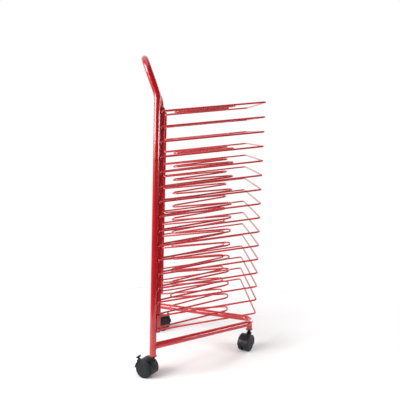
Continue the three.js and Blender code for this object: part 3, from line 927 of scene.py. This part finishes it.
class Castor:
    """Sizes that follow from a castor's own, and the way from its drawing to its place.

    A castor is drawn with its stem on Z, its wheels trailing along X and its axle along Y.
    """

    BOSS_DROP = 0.001  # boss below the top of the arch

    def __init__(self, sizes):
        self.sizes = sizes
        self.to_axle = Matrix.Translation((TRAIL, 0.0, WHEEL_RADIUS))
        self.half_web = sizes.web / 2.0
        self.wheel_in = self.half_web + sizes.side_gap
        self.wheel_out = self.wheel_in + sizes.wheel_width
        self.wheel_face = self.wheel_out - sizes.hub_rise
        self.guard_in = WHEEL_RADIUS + sizes.guard_gap
        self.guard_out = self.guard_in + sizes.guard
        self.boss_top = WHEEL_RADIUS + self.guard_out - self.BOSS_DROP
        self.neck_top = self.boss_top + sizes.neck_rise
        self.stem_bottom = self.boss_top - sizes.stem_in_hood
        self.lug_in = sizes.lever / 2.0 + TURNING_GAP
        self.lug_out = self.lug_in + sizes.lug

    def add(self, side, part, ending, mesh, finish, body=None):
        """A copy of a mesh, turned to the castor's heading under its stem, as a piece.

        It stands for the castor's node of that part, and moves with that node's own body if no
        other is named.
        """
        node = f"castor_{side}_{part}"
        axle = JOINTS[f"castor_{side}_wheel_1_roll"]["axis"]
        heading = math.atan2(-axle[0], axle[1])
        place = Matrix.Translation(foot_of(side)) @ Matrix.Rotation(heading, 4, "Z")
        add_piece(f"{node}_{ending}", moved(mesh.copy(), place), finish, body or node, [node])


class RACK_OT_castor_mounts(bpy.types.Operator):
    """Plugs in the tube ends and the stems that turn in them"""

    bl_idname = "rack.castor_mounts"
    bl_label = "Castor mounts"

    STEM_SIDES = 48
    STEM_FLANGE = 0.0015  # thickness of the stem's flange
    STEM_CHAMFER = 0.002
    PLUG_SIDES = 64
    PLUG_FIT = 0.0002  # plug's sleeve inside the tube
    PLUG_RIM = 0.0012  # upright rim of the plug's flange

    def execute(self, context):
        castor = Castor(context.scene.rack_castor)
        stem = mesh_of("stem", turned(self.stem_profile(castor), self.STEM_SIDES))
        plug = self.plug_profile(castor.sizes, context.scene.rack_frame)
        plug = mesh_of("plug", turned(plug, self.PLUG_SIDES))
        for side in SIDES:
            castor.add(side, "plug", "cap", plug, plug_plastic, "frame")
            castor.add(side, "stem", "pin", stem, zinc_plate, f"castor_{side}")
        return {"FINISHED"}

    def stem_profile(self, castor):
        """Half outline of the stem, from its foot in the hood to its chamfered top."""
        sizes = castor.sizes
        radius, flange = sizes.stem / 2.0, sizes.stem_flange / 2.0
        low = castor.stem_bottom + SEAT_GAP
        seat = castor.neck_top + SEAT_GAP
        above = seat + self.STEM_FLANGE
        top = TUBE_END + sizes.stem_in_tube
        rows = [
            (0.0, low, 0.0),
            (radius, low, 0.0003),
            (radius, seat, 0.0002),
            (flange, seat, 0.0005),
            (flange, above, 0.0005),
            (radius, above, 0.0003),
            (radius, top - self.STEM_CHAMFER, 0.0008),
            (radius - self.STEM_CHAMFER, top, 0.0005),
            (0.0, top, 0.0),
        ]
        return rounded_profile(rows, math.radians(25))

    def plug_profile(self, sizes, frame_sizes):
        """Closed half outline of the plug: a sleeve over a flange that narrows downwards."""
        outer = frame_sizes.tube / 2.0
        sleeve = outer - frame_sizes.wall - self.PLUG_FIT
        inner = sizes.stem / 2.0 + TURNING_GAP
        seat = TUBE_END - SEAT_GAP
        low = seat - sizes.plug_height
        top = TUBE_END + sizes.stem_in_tube
        flange = outer + sizes.plug_overhang
        rows = [
            (inner, low, 0.0002),
            (outer, low, 0.0006),
            (flange, seat - self.PLUG_RIM, 0.0006),
            (flange, seat, 0.0004),
            (sleeve, seat, 0.0001),
            (sleeve, top, 0.0003),
            (inner, top, 0.0003),
        ]
        outline = rounded_outline(rows, math.radians(20))
        return np.vstack([outline, outline[:1]])


class RACK_OT_castor_hoods(bpy.types.Operator):
    """Hoods over the wheels, with the boss for the stem and the brake lugs"""

    bl_idname = "rack.castor_hoods"
    bl_label = "Castor hoods"

    ARCH_RINGS, WEB_RINGS = 69, 61
    ARCH_ROUNDS = (0.0006, 0.0018)  # rims of the arch, inside and outside
    WEB_START = 0.004  # web from the axle
    WEB_INSET = 0.001  # web inside the arch's outer face
    WEB_TURN = 0.02  # web above level, in radians
    WEB_ROUNDS = (0.0002, 0.0002)
    DISC_SIDES, DISC_ROUND = 72, 0.001
    ROOM_SIDES, ROOM_END = 96, 0.03  # space cut for the wheels, and how far out it goes
    BOSS_SIDES = 64
    BOSS_FOOT = 0.004  # boss below the stem
    GROOVE_DEPTH, GROOVE_RIM, GROOVE_SLOPE = 0.004, 0.0012, 0.0004  # ring groove round the neck
    BORE_SIDES, BORE_END = 48, 0.08
    PIN_HALF = 0.006  # half the length of the axle's hole
    LUG_ROOT = 0.00125  # lug sunk into the arch
    LUG_ROUNDS = (0.0002, 0.0038)
    EYE_SIDES, EYE_RADIUS, EYE_PAST = 32, 0.0023, 0.001
    POCKET_ANGLES = (18.0, 50.0)
    POCKET_DEPTH, POCKET_HALF, POCKET_WIDE, POCKET_END = 0.0018, 0.004, 0.0035, 0.05
    POCKET_ROUNDS = (0.0005, 0.0005)

    def execute(self, context):
        castor = Castor(context.scene.rack_castor)
        hoods = {braked: self.hood(castor, braked) for braked in (True, False)}
        for side in SIDES:
            hood = hoods[side in BACK_SIDES]
            castor.add(side, "hood", "shell", hood, black_nylon, f"castor_{side}")
            axle = frame["nodes"][f"castor_{side}_axle"]
            axle.data.materials.clear()
            axle.data.materials.append(material(zinc_plate))
        return {"FINISHED"}

    def hood(self, castor, braked):
        """Arch, web, boss and lugs joined, then cut for the stem, the axle and any pockets."""
        sizes = castor.sizes
        half = castor.half_web
        arch = oblong(castor.guard_in, castor.guard_out, castor.wheel_face, *self.ARCH_ROUNDS)
        arch = swept_sector(arch, 0.0, math.pi + sizes.guard_drop, self.ARCH_RINGS)
        web = oblong(self.WEB_START, castor.guard_out - self.WEB_INSET, half, *self.WEB_ROUNDS)
        web = swept_sector(web, self.WEB_TURN, math.pi - self.WEB_TURN, self.WEB_RINGS)
        rim = {"rounding": self.DISC_ROUND, "step": math.radians(20)}
        disc = peg(sizes.web_round / 2.0, -half, half, self.DISC_SIDES, **rim)
        joined = [moved(mesh_of("web", web), castor.to_axle)]
        joined.append(moved(mesh_of("disc", disc), castor.to_axle))
        rooms = []
        for face in (1.0, -1.0):
            room = peg(castor.guard_in, face * half, face * self.ROOM_END, self.ROOM_SIDES)
            rooms.append(moved(mesh_of("room", room), castor.to_axle))
        boss = mesh_of("boss", turned(self.boss_profile(castor), self.BOSS_SIDES))
        joined.append(combined(boss, rooms, "DIFFERENCE"))
        if braked:
            joined.extend(self.lugs(castor))
        main = combined(moved(mesh_of("arch", arch), castor.to_axle), joined, "UNION")
        bore = sizes.stem / 2.0 + HOLE_GAP
        bore = peg(bore, castor.stem_bottom, self.BORE_END, self.BORE_SIDES, "Z")
        pin = peg(sizes.axle / 2.0 + HOLE_GAP, -self.PIN_HALF, self.PIN_HALF, self.BORE_SIDES)
        cuts = [mesh_of("stem_hole", bore), moved(mesh_of("pin_hole", pin), castor.to_axle)]
        if not braked:
            cuts.extend(self.pockets(castor))
        return combined(main, cuts, "DIFFERENCE")

    def boss_profile(self, castor):
        """Half outline of the boss: a rounded foot, a ring groove in its top and the neck."""
        outer, neck = castor.sizes.boss / 2.0, castor.sizes.neck / 2.0
        low, top = castor.stem_bottom - self.BOSS_FOOT, castor.boss_top
        rim = outer - self.GROOVE_RIM
        floor = top - self.GROOVE_DEPTH
        rows = [
            (0.0, low, 0.0),
            (outer, low, 0.003),
            (outer, top, 0.0005),
            (rim, top, 0.0004),
            (rim - self.GROOVE_SLOPE, floor, 0.0006),
            (neck + self.GROOVE_SLOPE, floor, 0.0006),
            (neck, top, 0.0004),
            (neck, castor.neck_top, 0.0007),
            (0.0, castor.neck_top, 0.0),
        ]
        return rounded_profile(rows, math.radians(15))

    def lugs(self, castor):
        """Two ears with round ends beside the brake lever, each with its eye.

        They are drawn outwards along X and then turned up about the axle.
        """
        half = castor.sizes.lug_length / 2.0
        foot = castor.guard_out - self.LUG_ROOT
        outline = oblong(foot, LEVER_REACH + half, half, *self.LUG_ROUNDS)
        to_pivot = Matrix.Translation((LEVER_REACH, 0.0, 0.0))
        turn = castor.to_axle @ Matrix.Rotation(-LEVER_ANGLE, 4, "Y")
        ears = []
        for low, high in ((-castor.lug_out, -castor.lug_in), (castor.lug_in, castor.lug_out)):
            ear = mesh_of("ear", extruded(outline, low, high))
            past = self.EYE_PAST
            eye = mesh_of("eye", peg(self.EYE_RADIUS, low - past, high + past, self.EYE_SIDES))
            ears.append(moved(combined(ear, [moved(eye, to_pivot)], "DIFFERENCE"), turn))
        return ears

    def pockets(self, castor):
        """Two moulded pockets down the back of a hood that has no brake."""
        start = castor.guard_out - self.POCKET_DEPTH
        outline = oblong(start, self.POCKET_END, self.POCKET_HALF, *self.POCKET_ROUNDS)
        pockets = []
        for angle in self.POCKET_ANGLES:
            pocket = mesh_of("pocket", extruded(outline, -self.POCKET_WIDE, self.POCKET_WIDE))
            turn = Matrix.Rotation(-math.radians(angle), 4, "Y")
            pockets.append(moved(pocket, castor.to_axle @ turn))
        return pockets


class RACK_OT_castor_wheels(bpy.types.Operator):
    """Twin wheels with a rounded tread and a raised disc"""

    bl_idname = "rack.castor_wheels"
    bl_label = "Castor wheels"

    WHEEL_SIDES = 96
    BORE_WALL = 0.0037  # between the blind bore and the outside
    GROOVE = 0.0008  # depth of the ring groove round the disc
    GROOVE_TOP, GROOVE_FLOOR = 0.0012, 0.0008  # its width, at the top and at the floor
    CROWN = 0.0003  # disc's rim below its middle
    DIMPLE_TOP, DIMPLE_FLOOR = 0.006, 0.0055  # radii of the dimple in the middle
    DIMPLE = 0.0007

    def execute(self, context):
        castor = Castor(context.scene.rack_castor)
        profile = self.profile(castor)
        for number, face in ((1, 1.0), (2, -1.0)):
            wheel = mesh_of("wheel", turned(profile * (1.0, face), self.WHEEL_SIDES, "Y"))
            moved(wheel, castor.to_axle)
            for side in SIDES:
                castor.add(side, f"wheel_{number}", "tread", wheel, dark_nylon)
        return {"FINISHED"}

    def profile(self, castor):
        """Half outline of a wheel, from its blind bore over the tread to the middle of its disc."""
        sizes = castor.sizes
        bore = sizes.axle / 2.0 + TURNING_GAP
        out = castor.wheel_out
        face = castor.wheel_face
        hub = sizes.hub / 2.0
        rows = [
            (0.0, out - self.BORE_WALL, 0.0),
            (bore, out - self.BORE_WALL, 0.0002),
            (bore, castor.wheel_in, 0.0004),
            (WHEEL_RADIUS, castor.wheel_in, 0.0008),
            (WHEEL_RADIUS, face, sizes.tread_edge),
            (hub + self.GROOVE_TOP, face, 0.0003),
            (hub + self.GROOVE_FLOOR, face - self.GROOVE, 0.0001),
            (hub, face - self.GROOVE, 0.0001),
            (hub - sizes.hub_rise, out - self.CROWN, 0.0006),
            (self.DIMPLE_TOP, out, 0.0002),
            (self.DIMPLE_FLOOR, out - self.DIMPLE, 0.0002),
            (0.0, out - self.DIMPLE, 0.0),
        ]
        return rounded_profile(rows, math.radians(15))


class RACK_OT_castor_brakes(bpy.types.Operator):
    """Brake levers with ribbed pedals"""

    bl_idname = "rack.castor_brakes"
    bl_label = "Castor brakes"

    STALK_IN = 0.002  # stalk inside the pedal
    STALK_ROUND, STALK_EDGE = 0.0004, 0.0006
    BARREL = {"radius": 0.003, "count": 40, "rounding": 0.0003}
    PIN = {"radius": 0.002, "count": 32, "rounding": 0.0004}
    PEDAL_FOOT, PEDAL_TIP, PEDAL_EDGE = 0.0006, 0.0012, 0.0016  # roundings of the cross bar
    GRIP = ((0.0, 0.0), (0.0002, 0.0004), (0.0006, 0.0004), (0.0008, 0.0))  # up, across, down
    GRIPS, GRIP_START, GRIP_PITCH, GRIP_ROUND = 3, 0.0012, 0.0015, 0.00015
    EDGE_RINGS = 5
    MOST_INSET = 0.8  # share of its half thickness that a bar's end may lose

    def execute(self, context):
        castor = Castor(context.scene.rack_castor)
        lever = self.lever(castor)
        for side in BACK_SIDES:
            castor.add(side, "brake", "lever", lever, black_nylon)
        return {"FINISHED"}

    def lever(self, castor):
        """Barrel and pin across the pivot, a stalk and the pedal, drawn along X and then raised."""
        sizes = castor.sizes
        half = sizes.lever / 2.0
        start = sizes.pedal_start
        stalk = oblong(0.0, start + self.STALK_IN, sizes.stalk / 2.0, *[self.STALK_ROUND] * 2)
        stalk = self.rounded_bar(stalk, half, self.STALK_EDGE)
        pedal = self.rounded_bar(self.pedal_outline(sizes), sizes.pedal / 2.0, self.PEDAL_EDGE)
        pin = peg(low=-castor.lug_out, high=castor.lug_out, **self.PIN)
        pieces = [mesh_of("stalk", stalk), mesh_of("pedal", pedal), mesh_of("pin", pin)]
        barrel = mesh_of("barrel", peg(low=-half, high=half, **self.BARREL))
        place = Matrix.Translation((LEVER_ALONG, 0.0, LEVER_PLACE[2]))
        lift = Matrix.Rotation(-sizes.lever_lift, 4, "Y")
        return moved(combined(barrel, pieces, "UNION"), place @ lift)

    def pedal_outline(self, sizes):
        """Closed outline of the pedal's cross bar, with the grip ribs on its upper face."""
        start, tip = sizes.pedal_start, sizes.pedal_start + sizes.pedal_length
        bar = sizes.pedal_thick / 2.0
        ribs = [start + self.GRIP_START + self.GRIP_PITCH * i for i in range(self.GRIPS)]
        grips = [(rib + x, bar + z, self.GRIP_ROUND) for rib in ribs for x, z in self.GRIP]
        rows = [(start, -bar, self.PEDAL_FOOT), (tip, -bar, self.PEDAL_TIP)]
        rows += [(tip, bar, self.PEDAL_TIP), *grips[::-1], (start, bar, self.PEDAL_FOOT)]
        return rounded_outline(rows, math.radians(20))

    def rounded_bar(self, outline, half, edge):
        """An outline carried along Y, shrunk towards its middle near each end.

        It shrinks as a quarter circle of the edge does.
        """
        middle = (outline.min(axis=0) + outline.max(axis=0)) / 2.0
        size = np.min(np.ptp(outline, axis=0)) / 2.0
        angle = np.linspace(0.0, math.pi / 2.0, self.EDGE_RINGS)
        by_sin, by_cos = edge * (1.0 - np.sin(angle)), edge * (1.0 - np.cos(angle))
        inset = np.concatenate([by_sin, by_cos])
        across = np.concatenate([-half + by_cos, half - by_sin])
        scale = 1.0 - np.minimum(inset / size, self.MOST_INSET)
        flat = middle + (outline - middle)[None] * scale[:, None, None]
        count = len(outline)
        y = np.repeat(across[:, None], count, axis=1)
        points = np.stack([flat[..., 0], y, flat[..., 1]], axis=-1).reshape(-1, 3)
        return points, grid_faces(len(scale), count), end_faces(len(scale), count)


class RACK_OT_studio(bpy.types.Operator):
    """Pale floor, soft lights and the camera"""

    bl_idname = "rack.studio"
    bl_label = "Studio"

    CAMERA_PLACE = (0.05365, -1.73572, 0.82809)  # from the floor midway between the uprights
    CAMERA_YAW = 0.21601
    CAMERA_PITCH = -0.13325
    CAMERA_ROLL = 0.05301
    FOCAL_PIXELS = 470.36
    AXIS_PIXEL = 275.08  # the photograph is cropped left of its lens's axis
    FRAME_PIXELS = 400
    SENSOR = 36.0
    FLOOR_RADIUS = 0.8
    FLOOR_SIDES = 96
    BACKDROP = {"From Min": 0.1, "From Max": 0.6}  # part along +Y of a mirrored ray, none to full
    SOFT_LIGHT = {"Color": (0.95, 0.97, 1.0, 1.0), "Strength": 0.12}
    WHITE = {"Color": (1.0, 1.0, 1.0, 1.0), "Strength": 1.0}
    OVERHEAD_STRENGTH = 1.15
    OVERHEAD_ANGLE = math.radians(70)
    OVERHEAD_TURN = (math.radians(12), math.radians(-10), 0.0)
    SOFTBOXES = (  # name, place and target from the middle of the floor, width, height, watts
        ("left softbox", (-1.9, -0.9, 1.3), (0.0, 0.0, 0.9), 1.6, 1.2, 84.0),
        ("right softbox", (1.7, 1.3, 0.9), (0.15, 0.0, 0.5), 0.8, 1.8, 20.0),
        ("front softbox", (1.72, -0.85, 0.82), (0.2, -0.1, 0.2), 0.8, 0.35, 14.0),
    )

    def execute(self, context):
        scene = context.scene
        self.floor(scene)
        self.world(scene)
        self.lights(scene)
        self.camera(scene)
        scene.view_settings.view_transform = "Standard"
        return {"FINISHED"}

    def middle(self):
        """Floor point midway between the uprights."""
        return (foot_of("left") + foot_of("right")) / 2.0

    def floor(self, scene):
        """A round studio floor, wide enough to show no edge in the photograph's view."""
        rim = level_circle(round_angles(self.FLOOR_SIDES)[:, None]) * self.FLOOR_RADIUS
        mesh = bpy.data.meshes.new("floor")
        mesh.from_pydata(rim, [], [tuple(range(len(rim)))])
        mesh.materials.append(material(studio_floor))
        floor = bpy.data.objects.new("floor", mesh)
        scene.collection.objects.link(floor)

    def world(self, scene):
        """White to the camera, a white backdrop in mirrored light, and a soft grey as light."""
        world = bpy.data.worlds.new("studio")
        scene.world = world
        world.use_nodes = True
        tree = world.node_tree
        tree.nodes.clear()
        ray = add_node(tree, "ShaderNodeLightPath").outputs
        way = add_node(tree, "ShaderNodeTexCoord").outputs["Generated"]
        depth = add_node(tree, "ShaderNodeSeparateXYZ", None, {"Vector": way}).outputs["Y"]
        ends = {**self.BACKDROP, "To Min": 0.0, "To Max": 1.0}
        behind = add_node(tree, "ShaderNodeMapRange", ends, {"Value": depth}).outputs["Result"]
        both = {0: behind, 1: ray["Is Glossy Ray"]}
        mirrored = add_node(tree, "ShaderNodeMath", {"operation": "MULTIPLY"}, both)
        either = {0: ray["Is Camera Ray"], 1: mirrored.outputs["Value"]}
        seen = add_node(tree, "ShaderNodeMath", {"operation": "MAXIMUM"}, either)
        soft = add_node(tree, "ShaderNodeBackground", self.SOFT_LIGHT)
        white = add_node(tree, "ShaderNodeBackground", self.WHITE)
        choice = {0: seen.outputs["Value"], 1: soft.outputs[0], 2: white.outputs[0]}
        blend = add_node(tree, "ShaderNodeMixShader", None, choice)
        add_node(tree, "ShaderNodeOutputWorld", None, {"Surface": blend.outputs[0]})

    def lights(self, scene):
        """A wide overhead light, a large softbox at the left, and two at the right."""
        overhead = bpy.data.lights.new("overhead", "SUN")
        overhead.energy = self.OVERHEAD_STRENGTH
        overhead.angle = self.OVERHEAD_ANGLE
        lamp = bpy.data.objects.new("overhead", overhead)
        lamp.rotation_euler = self.OVERHEAD_TURN
        scene.collection.objects.link(lamp)
        for name, place, target, wide, tall, power in self.SOFTBOXES:
            data = bpy.data.lights.new(name, "AREA")
            data.shape = "RECTANGLE"
            data.size = wide
            data.size_y = tall
            data.energy = power
            lamp = bpy.data.objects.new(name, data)
            ahead = unit(np.subtract(target, place))
            right = unit(np.cross(ahead, UP))
            lamp.matrix_world = self.pose(place, right, np.cross(right, ahead), ahead)
            scene.collection.objects.link(lamp)

    def pose(self, place, right, up, ahead):
        """The matrix of a camera or lamp at a place from the middle. It looks along its own -Z."""
        turned_to = Matrix([(right[i], up[i], -ahead[i]) for i in range(3)]).to_4x4()
        return Matrix.Translation(self.middle() + np.array(place)) @ turned_to

    def camera(self, scene):
        """Camera at the photograph's viewing angle, with its lens for a square frame."""
        yaw, pitch, roll = self.CAMERA_YAW, self.CAMERA_PITCH, self.CAMERA_ROLL
        level = math.cos(pitch)
        ahead = np.array([math.sin(yaw) * level, math.cos(yaw) * level, math.sin(pitch)])
        across = np.array([math.cos(yaw), -math.sin(yaw), 0.0])
        upright = np.cross(across, ahead)
        right = math.cos(roll) * across + math.sin(roll) * upright
        up = math.cos(roll) * upright - math.sin(roll) * across
        data = bpy.data.cameras.new("camera")
        data.sensor_width = self.SENSOR
        data.lens = self.FOCAL_PIXELS / self.FRAME_PIXELS * self.SENSOR
        data.shift_x = 0.5 - self.AXIS_PIXEL / self.FRAME_PIXELS
        camera = bpy.data.objects.new("camera", data)
        camera.matrix_world = self.pose(self.CAMERA_PLACE, right, up, ahead)
        scene.collection.objects.link(camera)
        scene.camera = camera


BUILD_STEPS = (
    RACK_OT_frame_tube,
    RACK_OT_base_rail,
    RACK_OT_hinge_strips,
    RACK_OT_shelves,
    RACK_OT_castor_mounts,
    RACK_OT_castor_hoods,
    RACK_OT_castor_wheels,
    RACK_OT_castor_brakes,
    RACK_OT_studio,
)


class RACK_PT_build(bpy.types.Panel):
    """Lists the rack's build steps"""

    bl_idname = "RACK_PT_build"
    bl_label = "Art drying rack"
    bl_space_type = "VIEW_3D"
    bl_region_type = "UI"
    bl_category = "Rack"

    def draw(self, context):
        for step in BUILD_STEPS:
            self.layout.operator(step.bl_idname)


GROUPS = {
    "rack_frame": RackFrameSizes,
    "rack_shelf": RackShelfSizes,
    "rack_castor": RackCastorSizes,
    "rack_finish": RackFinish,
}


def register():
    """Registers the classes and their places on the scene."""
    for name, group in GROUPS.items():
        bpy.utils.register_class(group)
        setattr(bpy.types.Scene, name, bpy.props.PointerProperty(type=group))
    for step in (*BUILD_STEPS, RACK_PT_build):
        bpy.utils.register_class(step)


def unregister():
    """Takes the classes out again."""
    for step in reversed((*BUILD_STEPS, RACK_PT_build)):
        bpy.utils.unregister_class(step)
    for name, group in GROUPS.items():
        delattr(bpy.types.Scene, name)
        bpy.utils.unregister_class(group)


def main():
    """Builds every piece in order."""
    register()
    bpy.ops.rack.frame_tube()
    bpy.ops.rack.base_rail()
    bpy.ops.rack.hinge_strips()
    bpy.ops.rack.shelves()
    bpy.ops.rack.castor_mounts()
    bpy.ops.rack.castor_hoods()
    bpy.ops.rack.castor_wheels()
    bpy.ops.rack.castor_brakes()
    bpy.ops.rack.studio()
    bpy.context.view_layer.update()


if __name__ == "__main__":
    main()
